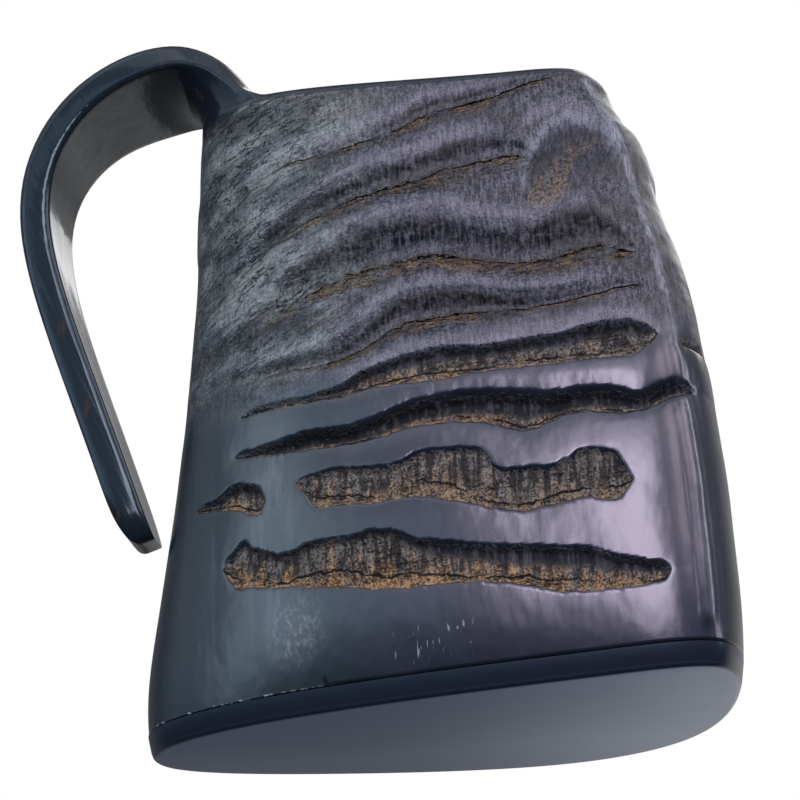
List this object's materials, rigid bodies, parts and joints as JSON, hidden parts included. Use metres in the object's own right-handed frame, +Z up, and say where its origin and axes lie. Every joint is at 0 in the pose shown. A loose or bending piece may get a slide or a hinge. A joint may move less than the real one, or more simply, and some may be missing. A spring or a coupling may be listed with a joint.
{
  "type": "horn tankard",
  "caption": "Hollow drinking mug of dark ridged horn that widens to a flat glued base, with a strap of the same horn bent over as an open hook handle.",
  "frame": {"origin": "middle of the face that the tankard stands on", "axes": "+X from the handle to the broad side, -Y out of the ridged front, +Z up"},
  "size_m": [0.1571, 0.0755, 0.1689],
  "materials": {
    "polished_horn": "polished blue-black horn with open fibrous brown growth grooves",
    "satin_horn": "satin dark grey horn",
    "clear_glue": "glossy amber resin"
  },
  "bodies": {
    "root": {"horn_body": "polished_horn", "base_plate": "satin_horn", "seal_bead": "clear_glue"}
  },
  "joints": []
}
